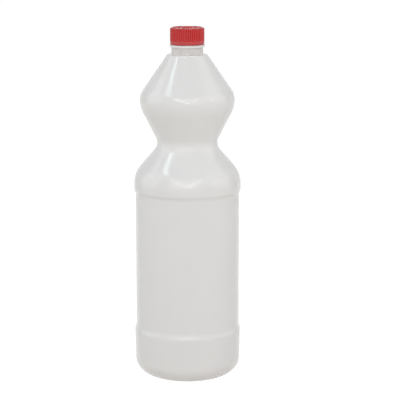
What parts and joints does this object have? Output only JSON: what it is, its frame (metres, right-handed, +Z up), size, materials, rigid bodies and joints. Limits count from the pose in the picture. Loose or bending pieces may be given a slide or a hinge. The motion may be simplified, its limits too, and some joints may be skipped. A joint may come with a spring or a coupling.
{
  "type": "plastic bottle",
  "caption": "Tall white blow-moulded household bottle with a hand waist under a conical bulge, a straight label panel, a rounded foot and a ribbed red screw cap.",
  "frame": {"origin": "centre of the standing ring, on the surface that the bottle stands on", "axes": "+Z up along the bottle's axis to the cap; the body is a solid of revolution, so X and Y are free, and the picture looks along +Y"},
  "size_m": [0.096, 0.096, 0.3156],
  "materials": {
    "white_bottle_plastic": "semi-gloss white polyethylene, very slightly translucent",
    "red_cap_plastic": "semi-gloss red polypropylene",
    "white_foam": "matt white foamed sheet"
  },
  "bodies": {
    "body": {"bottle": "white_bottle_plastic"},
    "liner": {"cap_liner": "white_foam"},
    "cap": {"screw_cap": "red_cap_plastic"}
  },
  "joints": [
    {"name": "cap_lift", "type": "slide", "parent": "body", "child": "liner", "axis": [0, 0, 1], "range_m": [0, 0.0158]},
    {"name": "cap_turn", "type": "hinge", "parent": "liner", "child": "cap", "pos_m": [0, 0, 0.3], "axis": [0, 0, 1], "range_deg": [0, 1350]}
  ],
  "couplings": [
    {"joint": "cap_lift", "follows": "cap_turn", "m_per_rad": 0.00066845}
  ]
}
